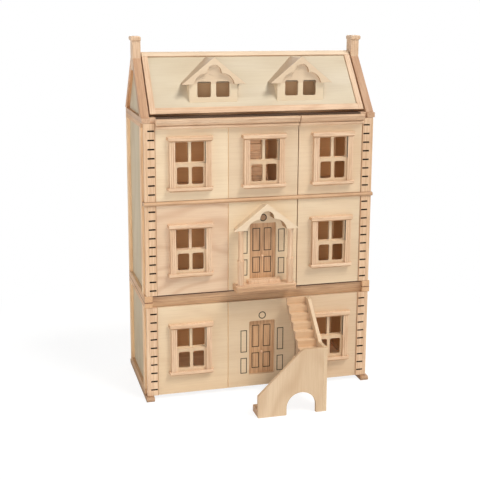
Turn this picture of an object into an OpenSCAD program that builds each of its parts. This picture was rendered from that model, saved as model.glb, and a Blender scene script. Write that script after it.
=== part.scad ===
// Wooden dollhouse: a ground-floor module, a two-storey upper module and an attic.
// Six front doors swing on corner posts, the front of the roof lifts at the ridge,
// seven sash windows slide up, two entrance doors open inwards and an
// angled stair stands in front.
// Frame: +X to the right, +Y to the back, +Z up; the origin is the middle of the
// footprint of house and stair together, on the surface it stands on.

/* [House] */
// Width over the outer faces of the corner posts
house_w = 600; // [580:2:640]
// Depth of the walls behind the front doors
wall_d = 250; // [240:2:280]
// Height of the runners under the house
runner_h = 12; // [10:1:16]
// How far the runners stand out at front and back
runner_out = 13; // [6:1:20]
// Height of the ground-floor module
ground_h = 251; // [248:1:270]
// Height of the middle storey, up to the string course
middle_h = 249; // [246:1:270]
// Height of the string course
course_h = 10; // [8:1:12]
// How far the round nose of the string course stands out at each end
course_over = 3; // [0:0.5:5]
// Height of the top storey, above the string course
top_h = 196; // [190:1:215]

/* [Walls] */
// Thickness of the side frames
frame_t = 20.5; // [19:0.5:24]
// How far the side frames stand out past the posts
frame_proud = 4; // [0:0.5:6]
// Width of the upright frame members
stile_w = 22; // [18:1:30]
// Height of the rails on the ground-floor module
ground_rail_h = 14; // [13:1:20]
// Height of the bottom rail of the upper module
upper_rail_h = 16.5; // [14:0.5:20]
// Height of the top rail of the upper module
upper_top_rail_h = 12; // [10:1:16]
// How far the plywood lies behind the outer face of a frame
panel_inset = 7.5; // [5:0.5:9]
// Thickness of the plywood in the side frames
ply_t = 5; // [4:0.5:6]
// Thickness of the back walls
back_t = 6; // [4:0.5:9]
// Thickness of floors and ceilings
board_t = 9; // [7:0.5:11]
// Thickness of the walls between rooms
partition_t = 7; // [5:0.5:10]
// How far the front edges of the floors lie behind the posts' front faces
fascia_back = 9; // [6:0.5:12]

/* [Front doors] */
// Width of a corner post
post_w = 29; // [26:1:32]
// Depth of a corner post
post_t = 18; // [16:1:20]
// Thickness of a door panel
panel_t = 9; // [7:0.5:10]
// How far a door panel lies behind the posts' front faces
panel_back = 2; // [1:0.5:3]
// Place of the seam between the wide and the narrow doors, from the middle
door_split = 98; // [90:1:104]
// Gap above and below a door
door_gap = 0.7; // [0.4:0.1:1.5]
// Distance from a post's outer face to its pivot
hinge_in = 9; // [8.5:0.1:9.5]
// Width of a quoin slot
slot_w = 17; // [12:0.5:20]
// Height of a quoin slot
slot_h = 3.8; // [2:0.2:5]
// Depth of a quoin slot
slot_deep = 5; // [3:0.5:8]
// Spacing of the quoin slots
slot_pitch = 22.6; // [20:0.2:26]
// Distance from a slot to the inner edge of its post
slot_edge = 2.5; // [1:0.5:4]
// Least distance from the first slot to the end of its post
slot_end = 12; // [10:1:16]
// Width of the groove that divides a wide door
bay_groove = 3; // [2:0.5:4]
// Gap between the wide and the narrow doors, on each side of the seam
split_gap = 1.2; // [0.4:0.1:1.5]

/* [Windows] */
// Width of a window between its jambs
win_w = 77; // [72:1:80]
// Height of a window between sill and lintel
win_h = 115; // [110:1:120]
// Distance from the corner post to the middle of an outer window
win_from_post = 86; // [84:1:90]
// How much nearer to their post the right-hand windows are
win_shift = 5; // [0:0.5:7]
// Height of the lower two storeys' windows above the door's lower edge
win_up = 46; // [40:1:56]
// Height of the sills above the door's lower edge, on the ground floor
win_up_ground = 52; // [40:1:60]
// Height of the top storey's windows above the door's lower edge
win_up_top = 24; // [18:1:30]
// Height of a sill
sill_h = 10; // [8:0.5:12]
// Height of a lintel
lintel_h = 12; // [9:0.5:14]
// How far sill and lintel stand out from the door panel
trim_out = 14; // [12.5:0.5:16]
// How far sill and lintel reach past the opening
trim_over = 21; // [19:0.5:23]
// How much sill and lintel narrow towards their lower edge
trim_taper = 7; // [4:0.5:9]
// Width of a jamb
jamb_w = 14.5; // [12:0.5:16]
// How far a jamb stands out from the door panel
jamb_out = 11; // [9:0.5:12]
// Width of an upper window pane
pane_w = 34; // [30:0.5:34.5]
// Height of the panel between the closed sash and the upper panes
pane_up = 2; // [1:0.5:4]
// Width of the bar between two upper panes
bar_w = 7; // [6:0.5:8]
// Height of a sliding sash
sash_h = 60; // [57:1:61]
// Thickness of a sliding sash
sash_t = 5; // [4:0.5:5.5]
// Height of the bottom rail of a sash
sash_rail = 7; // [6:0.5:8]
// Height of the top rail of a sash
sash_top = 9; // [7:0.5:10]
// Width of a pane in a sash
sash_pane_w = 29.5; // [26:0.5:31]
// Width of the bar between two panes of a sash
sash_bar_w = 8; // [6:0.5:10]
// Corner radius of an upper pane
pane_r = 4; // [1:0.5:5]
// Corner radius of a pane in a sash or a dormer
sash_r = 5; // [2:0.5:6]

/* [Entrances] */
// Width of an entrance opening
entry_w = 70; // [64:1:74]
// Height of an entrance opening
entry_h = 148; // [140:1:152]
// Height of the ground entrance above the door's lower edge
entry_up = 31; // [26:1:36]
// Height of the porch entrance above the door's lower edge
porch_up = 25.5; // [24:0.5:28]
// Thickness of an entrance door
leaf_t = 4; // [3:0.2:4.2]
// How far an entrance door laps behind its opening
leaf_lap = 4; // [3:0.5:5]
// Width of an engraved line
line_w = 2.2; // [1:0.2:2.4]
// Depth of an engraved line
line_deep = 0.8; // [0.4:0.1:1.2]

/* [Porch and dormers] */
// Width of the porch's pediment
ped_w = 171; // [164:1:176]
// Width of a dormer's pediment
dormer_ped_w = 165; // [156:1:168]
// Height of a pediment
ped_h = 67; // [62:1:68]
// How far the porch's roof lies below the edge of its pediment
porch_step = 6; // [3:0.5:7]
// Radius of the side lobes of the pediment's cut
lobe_r = 33; // [29:1:35]
// Distance of the side lobes from the middle of the pediment
lobe_x = 19.5; // [18.5:0.5:21]
// How far the middles of the side lobes lie below the pediment's base
lobe_drop = 5.5; // [3:0.5:7]
// Radius of the middle lobe of the pediment's cut
lobe_mid_r = 18.5; // [16:0.5:19]
// Height of the middle of the middle lobe
lobe_mid_up = 29.5; // [27:0.5:31]
// How far the porch stands out from the door panel
porch_out = 38; // [34:1:44]
// Height of the porch slab
slab_h = 16; // [14:0.5:17]
// Width of the porch slab
slab_w = 160; // [156:1:166]
// Distance from the middle of the porch to a column
column_x = 65.5; // [63:0.5:68]
// Radius of the lower part of a column
column_r = 8.3; // [7:0.1:9]
// Radius of the upper part of a column
column_top_r = 6.4; // [5:0.1:7]
// Distance from the middle of the roof to a dormer
dormer_x = 114.5; // [108:0.5:126]
// Width of a dormer's body
dormer_w = 124; // [116:1:130]
// Height of a dormer's front wall up to its eaves
dormer_h = 40; // [38:1:43]
// Wall thickness of a dormer
dormer_t = 6; // [5:0.5:8]
// Depth of the cut pediment in front of a dormer's wall
ped_t = 8; // [6:0.5:10]
// Width of a dormer pane
dormer_pane_w = 35; // [30:1:36]
// Height of a dormer pane
dormer_pane_h = 39; // [34:1:40]
// Width of the bar between a dormer's panes
dormer_bar = 13; // [9:1:15]
// How far a dormer's roof lies below the edge of its pediment
dormer_step = 4.5; // [2:0.5:5]

/* [Roof] */
// Pitch of the roof in degrees
pitch = 50; // [48:0.5:52]
// Height of the front eave above the top storey
eave_up = 21; // [20:0.5:24]
// Height of the attic's bottom rail
attic_rail_h = 13; // [12:0.5:15]
// Width of the sloping members of a gable
gable_w = 20; // [18:0.5:24]
// Radius of the round ridge edge of the roof flap
ridge_r = 8; // [7.5:0.1:9]
// Thickness of the frame of the roof flap
flap_t = 12; // [11:0.5:13]
// Width of the side rails of the roof flap
flap_w = 14.5; // [12:0.5:18]
// Width of the top rail of the roof flap
flap_top_w = 10; // [9:0.5:14]
// Width of the bottom rail of the roof flap, before its level cut
flap_low_w = 17.5; // [15:0.5:20]
// How far the flap's plywood lies below its frame
flap_inset = 3.5; // [2:0.5:4]
// Thickness of the flap's plywood
flap_ply_t = 6; // [5:0.5:7]
// Gap between the roof flap and each gable
flap_gap = 3.5; // [2:0.5:4]
// Gap between the flap's lower edge and the attic rail
flap_rest = 6; // [2:0.5:7]
// Depth of a chimney, front to back
chimney_d = 36; // [32:1:40]
// Height of a chimney above the ridge
chimney_h = 28; // [22:1:40]
// Height of a chimney cap
cap_h = 12; // [9:0.5:14]
// Overhang of a chimney cap
cap_over = 3.5; // [2.5:0.5:5]

/* [Stair] */
// Distance from the posts' front faces to the front of the stair
stair_front = 172; // [168:1:190]
// Distance from the end of the ground window's sill to the stair
stair_gap = 5.5; // [0.5:0.5:8]
// Thickness of a stair cheek
cheek_t = 9; // [7:0.5:10]
// Clear width of the stair
flight_w = 50; // [46:1:54]
// How far the lower flight ends short of the landing's rear edge
lower_in = 11; // [0:1:14]
// Height of a riser
riser = 17; // [16:0.1:17.5]
// Depth of a tread in the lower flight
lower_tread = 15; // [14:0.1:17]
// Depth of a tread in the upper flight
upper_tread = 18.5; // [17:0.1:18.5]
// Least thickness of a flight, under the back edge of a step
flight_t = 8; // [6:0.5:12]
// Height of the cheeks above the landing
cheek_up = 16; // [12:0.5:20]
// Height of the front cheek at its low end
cheek_low = 57; // [50:1:62]
// Width of the arches in the cheeks
arch_w = 77; // [70:1:80]
// Height of the arches in the cheeks
arch_h = 57; // [50:1:60]
// Distance of the front arch from the middle of its cheek, to the right
arch_off = 23; // [18:0.5:24]

/* [Hidden] */

$fn = 48;
// Clearances
seam = 0.1;             // between pieces glued together
fit = 0.2;              // round a board held in a frame
swing = 0.3;            // between pieces that move past each other
running = 0.05;         // round a pivot pin
eps = 1;                // overshoot of a cut past a face
big = 400;              // larger than any cut piece
// Pivots
pin_r = 2.5;
pin_grip = 8;           // length of a pin in each piece that it joins
pin_end = 0.3;          // free space past a pin's end
roof_pin_r = 3;
leaf_pin_r = 1.2;
leaf_pin_l = 4;
lug_h = 7;
lug_w = 8;
lug_back = 2;
// Heights of the storeys
z_ground = runner_h;
z_upper = z_ground + ground_h;
z_course = z_upper + middle_h;
z_top = z_course + course_h;
z_attic = z_top + top_h;
z_attic_floor = z_attic + attic_rail_h;
z_eave = z_attic + eave_up;
// Plan of the house, measured from the posts' front faces
half_w = house_w / 2;
wall_y = post_t + swing;
back_y = wall_y + wall_d;
mid_y = wall_y + wall_d / 2;
front_y = -stair_front;
place_y = -(front_y + back_y + runner_out) / 2;
frame_out = half_w + frame_proud;
frame_in = frame_out - frame_t;
board_x = frame_in - fit;
board_end = back_y - back_t - fit;
post_in = half_w - post_w;
pin_x = half_w - hinge_in;
pin_y = post_t / 2;
face_y = panel_back;
rear_y = panel_back + panel_t;
bay_line = (door_split - post_in) / 2;
entry_x = (bay_line + door_split) / 2;
win_x = post_in - win_from_post;
win_right_x = win_x + win_shift;
// Door heights: lower edge and upper edge of each storey's doors
doors_ground = [z_ground + door_gap, z_upper - ground_rail_h - door_gap];
doors_middle = [z_upper + upper_rail_h + door_gap, z_course - door_gap];
doors_top = [z_top + door_gap, z_attic - door_gap];
// Windows
jamb_groove = 3;
sash_play = 0.4;
sash_w = win_w + 2 * (jamb_groove - sash_play);
sash_y = face_y - swing - sash_t;
light_w = 2 * pane_w + bar_w;
pane_top = 2;           // from the lintel to the upper panes
pane_h = win_h - pane_top - sash_h - pane_up;
sill_reveal = 5;
low_h = sash_h - sill_reveal - sash_rail;
flute_r = 0.8;
flute_count = 2;
trim_nose = 3;          // bevel round the front of a sill or lintel
trim_edge = 1;
// Cornice
cornice_drop = 15;      // from the top of the top storey to the cornice's lower edge
cornice_t = 6;
bead_r = 4;
neck_in = 2;
bulge_r = 13;
lip_h = 4;
// Entrances: engraved sidelights, ring and door panels
tall_h = 61;
short_h = 43;
pair_gap = 15.5;
sidelight_gap = 6;
sidelight_w = 17.5;
sidelight_up = 5;
porch_light_up = 11;     // the porch's sidelights stand higher
ring_up = 14.5;
ring_r = 10;
ring_line = 2.6;
entry_r = 3;            // corner radius of an entrance opening
leaf_edge = 9.5;
leaf_panel_w = 20.5;
leaf_panel_up = 14;
knob_up = 61;
knob_r = 3.2;
knob_stem_r = 1.6;
knob_out = 5.5;         // from the door's face to the middle of the knob
leaf_y = rear_y + swing;
leaf_hinge_x = entry_x + entry_w / 2 + leaf_lap - leaf_t / 2;
// Porch
ped_front = face_y - porch_out;
ped_base = doors_middle[1] - ped_h;
slab_up = 3;            // from the door's lower edge to the slab
slab_z = doors_middle[0] + slab_up;
slab_top = slab_z + slab_h;
slab_nose = 3;          // from the pediment's front to the slab's
slab_bevel = 2;
slab_corner = 4;
slab_groove_r = 1;
column_in = 12;         // from the pediment's front to the middle of a column
column_y = ped_front + column_in;
waist_up = 62;
ring_h = 4;
ring_out = 0.9;
head_h = 5;
step_w = 86;
step_d = 18;
step_h = 8.5;
// Roof: the flap turns about an axis ridge_r below its outer surface
slope_run = (mid_y - wall_y - ridge_r * sin(pitch)) / cos(pitch);
z_axis = z_eave + slope_run * sin(pitch) - ridge_r * cos(pitch);
flap_x = frame_in - flap_gap;
gable_out = 1.5;        // how far the gables stand out past the roof's surface
ridge_gap = 1;          // between the round ridge and the rear slope
chimney_y = chimney_d / 2 + seam;
z_ridge = z_axis + ridge_r;
z_cap = z_ridge + chimney_h;
cap_inner = 0.5;        // overhang of a chimney cap over the roof flap
cap_bevel = 3;
// Dormers
dormer_y = 34;          // front of a dormer's pediment
pane_over = 6.5;          // how far the panes reach above the eaves
dormer_z = roof_z(dormer_y + ped_t, 0);
dormer_eave = dormer_z + dormer_h;
dormer_hole = dormer_w - 4 * dormer_t;
// Stair
lower_count = 8;
upper_count = 6;
top_tread = 6;
cheek_flat = 27.5;      // length of the level top of the rear end of the right cheek
cheek_cut = 9;          // length of the short bevel on the front cheek
cheek_cut_h = 4;
stair_right = win_right_x - win_w / 2 - trim_over - stair_gap;
landing_z = (lower_count + 1) * riser;
landing_left = stair_right - cheek_t - flight_w;
inner_y = front_y + cheek_t;
landing_back = inner_y + flight_w;
stair_back = landing_back + (upper_count - 1) * upper_tread + top_tread;
stair_end = landing_left - lower_count * lower_tread;
stair_top = landing_z + upper_count * riser;
// Inner stairs
inner_w = 56;
inner_x = entry_x + 14;
inner_front = 104;
inner_run = 110;
inner_steps = 10;
inner_cheek_t = 4;
foot_rises = 1.5;       // height of a side's lower end, in steps
well_margin = 3;
well_front = inner_front + inner_run / 3;

// Height of a line parallel to the roof, off above its outer surface
function roof_z(y, off) = z_eave + (y - wall_y) * tan(pitch) + off / cos(pitch);
function roof_y(z, off) = wall_y + (z - z_eave - off / cos(pitch)) / tan(pitch);

module block(low, high) translate(low) cube(high - low);
module on_side(side) mirror([side < 0 ? 1 : 0, 0, 0]) children();
module at_house() translate([0, place_y, 0]) children();
// Extrudes an outline drawn in X and Z from y0 back to y1
module facing(y0, y1) translate([0, y1, 0]) rotate([90, 0, 0]) linear_extrude(y1 - y0) children();
// Extrudes an outline drawn in Y and Z from x0 to x1
module across(x0, x1) translate([x0, 0, 0]) rotate([90, 0, 90]) linear_extrude(x1 - x0) children();
module upright(x, y, z0, z1, r) translate([x, y, z0]) cylinder(h = z1 - z0, r = r);
// The roof's own frame: Y up the front slope from the hinge axis, Z out of it
module on_roof() translate([0, mid_y, z_axis]) rotate([pitch, 0, 0]) children();
module rounded(w, h, r) {
    translate([r, 0]) square([w - 2 * r, h]);
    translate([0, r]) square([w, h - 2 * r]);
    for (x = [r, w - r], y = [r, h - r]) translate([x, y]) circle(r);
}
module outline(w, h) {
    difference() {
        square([w, h]);
        translate([line_w, line_w]) square([w - 2 * line_w, h - 2 * line_w]);
    }
}

// ---- Frames, walls and floors ----

module runner(side) on_side(side) {
    difference() {
        union() {
            block([frame_in, -runner_out + runner_h / 2, 0],
                [frame_out, back_y + runner_out - runner_h / 2, runner_h]);
            for (y = [-runner_out + runner_h / 2, back_y + runner_out - runner_h / 2])
                translate([frame_in, y, runner_h / 2]) rotate([0, 90, 0])
                    cylinder(h = frame_t, r = runner_h / 2);
        }
        upright(pin_x, pin_y, z_ground - pin_grip - pin_end, z_ground + eps, pin_r + running);
    }
}

// Rails run the full depth, and reach forward over the posts where they carry a pivot
module rail(z0, z1, y0, pivot_z0, pivot_z1) {
    difference() {
        block([frame_in, y0, z0], [frame_out, back_y, z1]);
        if (pivot_z1 > pivot_z0) upright(pin_x, pin_y, pivot_z0, pivot_z1, pin_r + running);
    }
}

module stiles(z0, z1) {
    for (y = [wall_y, back_y - stile_w])
        block([frame_in, y, z0 + seam], [frame_out, y + stile_w, z1 - seam]);
}

module ground_frame(side) on_side(side) {
    rail_z = z_upper - ground_rail_h;
    rail(z_ground + seam, z_ground + ground_rail_h, wall_y, 0, 0);
    rail(rail_z, z_upper - seam, 0, rail_z - eps, rail_z + pin_grip + pin_end);
    stiles(z_ground + ground_rail_h, rail_z);
}

module upper_frame(side) on_side(side) {
    rail_z = z_upper + upper_rail_h;
    rail(z_upper, rail_z, 0, rail_z - pin_grip - pin_end, rail_z + eps);
    rail(z_attic - upper_top_rail_h, z_attic - seam, wall_y, 0, 0);
    stiles(rail_z, z_attic - upper_top_rail_h);
}

module side_panels(z0, z1) {
    for (side = [-1, 1]) on_side(side)
        block([frame_out - panel_inset - ply_t, wall_y + stile_w + fit, z0 + fit],
            [frame_out - panel_inset, back_y - stile_w - fit, z1 - fit]);
}

module back_wall(z0, z1) block([-board_x, back_y - back_t, z0 + fit], [board_x, back_y, z1 - fit]);

module board(z0, z1, end) block([-board_x, wall_y, z0], [board_x, end, z1]);

module fascia(z0, z1) block([-board_x, fascia_back, z0], [board_x, wall_y - seam, z1]);

module stair_well(z0, z1) {
    block([inner_x - inner_w / 2 - well_margin, well_front, z0 - eps],
        [inner_x + inner_w / 2 + well_margin, inner_front + inner_run + well_margin, z1 + eps]);
}

module runners() at_house() color("burlywood") { runner(-1); runner(1); }
module ground_floor() at_house() color("wheat") board(z_ground + seam, z_ground + board_t, board_end);
module ground_frame_left() at_house() color("burlywood") ground_frame(-1);
module ground_frame_right() at_house() color("burlywood") ground_frame(1);
module ground_side_panels() at_house() color("cornsilk")
    side_panels(z_ground + ground_rail_h, z_upper - ground_rail_h);
module ground_back() at_house() color("cornsilk") back_wall(z_ground, z_upper);
module ground_ceiling() at_house() color("burlywood") {
    board(z_upper - board_t, z_upper - seam, board_end);
    fascia(z_upper - ground_rail_h, z_upper - seam);
}
module middle_floor() at_house() color("burlywood") {
    board(z_upper, z_upper + board_t, board_end);
    fascia(z_upper, z_upper + upper_rail_h);
}
module upper_frame_left() at_house() color("burlywood") upper_frame(-1);
module upper_frame_right() at_house() color("burlywood") upper_frame(1);
module upper_side_panels() at_house() color("cornsilk")
    side_panels(z_upper + upper_rail_h, z_attic - upper_top_rail_h);
module upper_back() at_house() color("cornsilk") back_wall(z_upper, z_attic_floor - board_t);

module partitions() at_house() color("wheat") {
    storeys = [[z_ground + board_t, z_upper - board_t], [z_upper + board_t, z_course],
        [z_course + board_t, z_attic_floor - board_t]];
    for (z = storeys, x = [bay_line, door_split])
        block([x - partition_t / 2, wall_y + fit, z[0] + fit],
            [x + partition_t / 2, board_end - fit, z[1] - fit]);
}

module top_floor() at_house() color("wheat") difference() {
    board(z_course, z_course + board_t, board_end);
    stair_well(z_course, z_course + board_t);
}

module attic_floor() at_house() color("burlywood") {
    difference() {
        board(z_attic_floor - board_t, z_attic_floor, back_y);
        stair_well(z_attic_floor - board_t, z_attic_floor);
    }
    fascia(z_attic + seam, z_attic_floor);
}

module string_course() at_house() color("burlywood") difference() {
    across(-half_w - course_over, half_w + course_over) {
        translate([0, z_course]) square([wall_y - seam, course_h]);
        translate([0, z_course + course_h / 2]) circle(course_h / 2);
    }
    for (x = [-pin_x, pin_x]) upright(x, pin_y, z_course - eps, z_top + eps, pin_r + running);
}

// A steep straight flight with closed sides, from one floor to the next
module inner_flight(z0, z1) {
    run = inner_run / inner_steps;
    rise = (z1 - z0) / (inner_steps + 1);
    side_x = inner_w / 2 - inner_cheek_t;
    foot_y = inner_front - inner_cheek_t;
    back = inner_front + inner_run;
    for (i = [0 : inner_steps - 1])
        block([inner_x - side_x, inner_front + i * run, z0 + max(0, i - 1) * rise],
            [inner_x + side_x, inner_front + (i + 1) * run, z0 + (i + 1) * rise]);
    for (x = [inner_x - inner_w / 2, inner_x + side_x])
        across(x, x + inner_cheek_t) polygon([[foot_y, z0], [inner_front + 2 * run, z0],
            [back, z1 - 3 * rise], [back, z1 - board_t - fit], [back - run, z1 - board_t - fit],
            [foot_y, z0 + foot_rises * rise]]);
}
module inner_stairs() at_house() color("sandybrown") {
    inner_flight(z_upper + board_t + fit, z_course + board_t);
    inner_flight(z_course + board_t + fit, z_attic_floor);
}

// ---- Gables, chimneys and roof ----

module slope_member(z0, front) {
    inner = gable_out - gable_w;
    flip = front ? 1 : -1;
    base = front ? 0 : 2 * mid_y;
    y_top = mid_y - chimney_y - seam;
    polygon([[base + flip * roof_y(z0, gable_out), z0],
        [base + flip * roof_y(z0, inner), z0],
        [base + flip * y_top, roof_z(y_top, inner)],
        [base + flip * y_top, roof_z(y_top, gable_out)]]);
}

module gable_frame(side) on_side(side) {
    rail(z_attic, z_attic_floor, 0, z_attic - eps, z_attic + pin_grip + pin_end);
    across(frame_in, frame_out) slope_member(z_attic_floor + seam, true);
    across(frame_in, frame_out) slope_member(z_attic_floor + seam, false);
}

module gable_panel(side) on_side(side) {
    inner = gable_out - gable_w - fit;
    y_low = roof_y(z_attic_floor + fit, inner);
    y_top = mid_y - chimney_y;
    across(frame_out - panel_inset - ply_t, frame_out - panel_inset)
        polygon([[y_low, z_attic_floor + fit], [y_top, roof_z(y_top, inner)],
            [2 * mid_y - y_top, roof_z(y_top, inner)], [2 * mid_y - y_low, z_attic_floor + fit]]);
}

module chimney(side) on_side(side) {
    foot = roof_z(mid_y - chimney_y, gable_out - gable_w);
    difference() {
        block([frame_in, mid_y - chimney_d / 2, foot], [frame_out, mid_y + chimney_d / 2, z_cap]);
        translate([frame_in - eps, mid_y, z_axis]) rotate([0, 90, 0])
            cylinder(h = pin_grip + pin_end + eps, r = roof_pin_r + running);
    }
    front = mid_y - chimney_d / 2;
    back = mid_y + chimney_d / 2;
    z_low = z_cap + cap_bevel;
    z_high = z_cap + cap_h - cap_bevel;
    intersection() {
        facing(front - cap_over, back + cap_over)
            cap_outline(frame_in, frame_out, cap_inner, z_low, z_high);
        across(frame_in - cap_over, frame_out + cap_over)
            cap_outline(front, back, cap_over, z_low, z_high);
    }
}

// Side view of a chimney cap over a shaft from a to b, with its own overhang at a
module cap_outline(a, b, over, z_low, z_high) polygon([[a, z_cap], [b, z_cap],
    [b + cap_over, z_low], [b + cap_over, z_high], [b + cap_bevel / 2, z_cap + cap_h],
    [a - over + cap_bevel, z_cap + cap_h], [a - over, z_high], [a - over, z_low]]);

module gable_frame_left() at_house() color("burlywood") gable_frame(-1);
module gable_frame_right() at_house() color("burlywood") gable_frame(1);
module gable_panels() at_house() color("cornsilk") { gable_panel(-1); gable_panel(1); }
module chimneys() at_house() color("burlywood") { chimney(-1); chimney(1); }

// The fixed rear slope, drawn on the front slope and turned about the ridge
module roof_back() at_house() color("cornsilk") difference() {
    translate([0, mid_y, 0]) mirror([0, 1, 0]) translate([0, -mid_y, 0]) on_roof()
        block([-board_x, -slope_run, ridge_r - flap_t], [board_x, -ridge_r - ridge_gap, ridge_r]);
    block([-big, mid_y, z_eave - big], [big, back_y + big, z_attic_floor + fit]);
    block([-big, back_y, z_eave - big], [big, back_y + big, z_ridge]);
}

module roof_front_frame() at_house() color("burlywood") {
    low = ridge_r - flap_t;
    difference() {
        on_roof() union() {
            rotate([0, 90, 0]) translate([0, 0, -flap_x]) cylinder(h = 2 * flap_x, r = ridge_r);
            block([-flap_x, -flap_top_w, low], [flap_x, 0, ridge_r]);
        }
        for (side = [-1, 1]) on_side(side)
            translate([flap_x - pin_grip - pin_end, mid_y, z_axis]) rotate([0, 90, 0])
                cylinder(h = pin_grip + pin_end + eps, r = roof_pin_r + running);
    }
    difference() {
        on_roof() block([-flap_x, -slope_run, low], [flap_x, -slope_run + flap_low_w, ridge_r]);
        block([-big, -big, 0], [big, mid_y, z_attic_floor + flap_rest]);
    }
    for (side = [-1, 1]) on_side(side) on_roof()
        block([flap_x - flap_w, -slope_run + flap_low_w + seam, low],
            [flap_x, -flap_top_w - seam, ridge_r]);
}

module roof_front_panel() at_house() color("cornsilk") difference() {
    on_roof() block([-flap_x + flap_w + fit, -slope_run + flap_low_w + fit,
            ridge_r - flap_inset - flap_ply_t],
        [flap_x - flap_w - fit, -flap_top_w - fit, ridge_r - flap_inset]);
    for (x = [-dormer_x, dormer_x]) translate([x, 0, 0])
        block([-dormer_hole / 2, -big, dormer_z + dormer_t], [dormer_hole / 2, big, dormer_eave]);
}

module trefoil() {
    intersection() {
        union() {
            for (x = [-lobe_x, lobe_x]) translate([x, -lobe_drop]) circle(lobe_r);
            translate([0, lobe_mid_up]) circle(lobe_mid_r);
        }
        translate([-ped_w / 2, -eps]) square([ped_w, ped_h]);
    }
}

module gable_outline(w, h) polygon([[-w / 2, 0], [w / 2, 0], [0, h]]);

module dormer(x) translate([x, 0, 0]) {
    wall_front = dormer_y + ped_t;
    inner_h = ped_h * (dormer_w - 2 * dormer_t) / dormer_ped_w - dormer_t;
    inner_w = dormer_w - 2 * dormer_t;
    step_in = dormer_step * dormer_ped_w / 2 / ped_h;
    difference() {
        intersection() {
            union() {
                facing(dormer_y, wall_front) translate([0, dormer_eave]) gable_outline(dormer_ped_w, ped_h);
                facing(wall_front, mid_y) translate([0, dormer_eave])
                    gable_outline(dormer_ped_w - 2 * step_in, ped_h - dormer_step);
                facing(wall_front, mid_y) translate([-dormer_w / 2, dormer_z - big])
                    square([dormer_w, dormer_h + big + seam]);
            }
            on_roof() block([-dormer_ped_w, -slope_run, ridge_r - flap_inset + seam],
                [dormer_ped_w, -flap_top_w - seam, big]);
        }
        facing(dormer_y - eps, wall_front) translate([0, dormer_eave]) trefoil();
        facing(wall_front + dormer_t, mid_y) {
            translate([-inner_w / 2, dormer_z - eps]) square([inner_w, dormer_h + 2 * eps]);
            translate([0, dormer_eave + eps]) gable_outline(inner_w, inner_h);
        }
        for (px = [-dormer_bar / 2 - dormer_pane_w, dormer_bar / 2])
            facing(wall_front - eps, wall_front + 2 * dormer_t)
                translate([px, dormer_eave + pane_over - dormer_pane_h])
                    rounded(dormer_pane_w, dormer_pane_h, sash_r);
    }
}
module dormer_left() at_house() color("cornsilk") dormer(-dormer_x);
module dormer_right() at_house() color("cornsilk") dormer(dormer_x);

module hinge_pins() at_house() color("dimgray") {
    joints = [z_ground, z_upper - ground_rail_h, z_upper + upper_rail_h, z_attic];
    for (side = [-1, 1]) on_side(side) {
        for (z = joints) upright(pin_x, pin_y, z - pin_grip, z + pin_grip, pin_r);
        upright(pin_x, pin_y, z_course - pin_grip, z_top + pin_grip, pin_r);
        translate([flap_x - pin_grip, mid_y, z_axis]) rotate([0, 90, 0])
            cylinder(h = 2 * pin_grip + flap_gap, r = roof_pin_r);
    }
}

// ---- Front doors ----

module post(side, z) on_side(side) {
    count = floor((z[1] - z[0] - 2 * slot_end) / slot_pitch) + 1;
    first = (z[0] + z[1] - (count - 1) * slot_pitch) / 2;
    difference() {
        union() {
            block([post_in, 0, z[0]], [half_w, post_t / 2, z[1]]);
            block([post_in, 0, z[0]], [pin_x, post_t, z[1]]);
            upright(pin_x, pin_y, z[0], z[1], min(hinge_in, post_t / 2));
        }
        for (i = [0 : count - 1])
            block([post_in + slot_edge, -eps, first + i * slot_pitch - slot_h / 2],
                [post_in + slot_edge + slot_w, slot_deep, first + i * slot_pitch + slot_h / 2]);
        upright(pin_x, pin_y, z[0] - eps, z[0] + pin_grip + pin_end, pin_r + running);
        upright(pin_x, pin_y, z[1] - pin_grip - pin_end, z[1] + eps, pin_r + running);
    }
}

// Cut through a door for one window: two upper panes and the opening behind the sash
module window_cut(x, z) {
    for (px = [x - light_w / 2, x + bar_w / 2])
        facing(-big, big) translate([px, z + win_h - pane_top - pane_h])
            rounded(pane_w, pane_h, pane_r);
    facing(-big, big) translate([x - light_w / 2, z + sill_reveal])
        rounded(light_w, low_h, pane_r);
}

// Engraved outlines of a short panel with a tall one above it
module panel_pair(w) {
    outline(w, short_h);
    translate([0, short_h + pair_gap]) outline(w, tall_h);
}

// Entrance opening with the engraved sidelights and ring around it
module entrance_cut(z, light_up) {
    side_x = entry_w / 2 + sidelight_gap;
    facing(-big, big) translate([entry_x - entry_w / 2, z]) rounded(entry_w, entry_h, entry_r);
    facing(-big, face_y + line_deep) {
        for (s = [-side_x - sidelight_w, side_x])
            translate([entry_x + s, z + light_up]) panel_pair(sidelight_w);
        translate([entry_x, z + entry_h + ring_up]) difference() {
            circle(ring_r);
            circle(ring_r - ring_line);
        }
    }
}

module lugs(z) {
    for (s = [-1, 1]) {
        end = s > 0 ? z + entry_h + leaf_lap + swing : z - leaf_lap - swing - lug_h;
        difference() {
            block([leaf_hinge_x - lug_w / 2, rear_y - seam, end],
                [leaf_hinge_x + lug_w / 2, leaf_y + leaf_t + lug_back, end + lug_h]);
            upright(leaf_hinge_x, leaf_y + leaf_t / 2, end - eps, end + lug_h + eps,
                leaf_pin_r + running);
        }
    }
}

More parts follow.
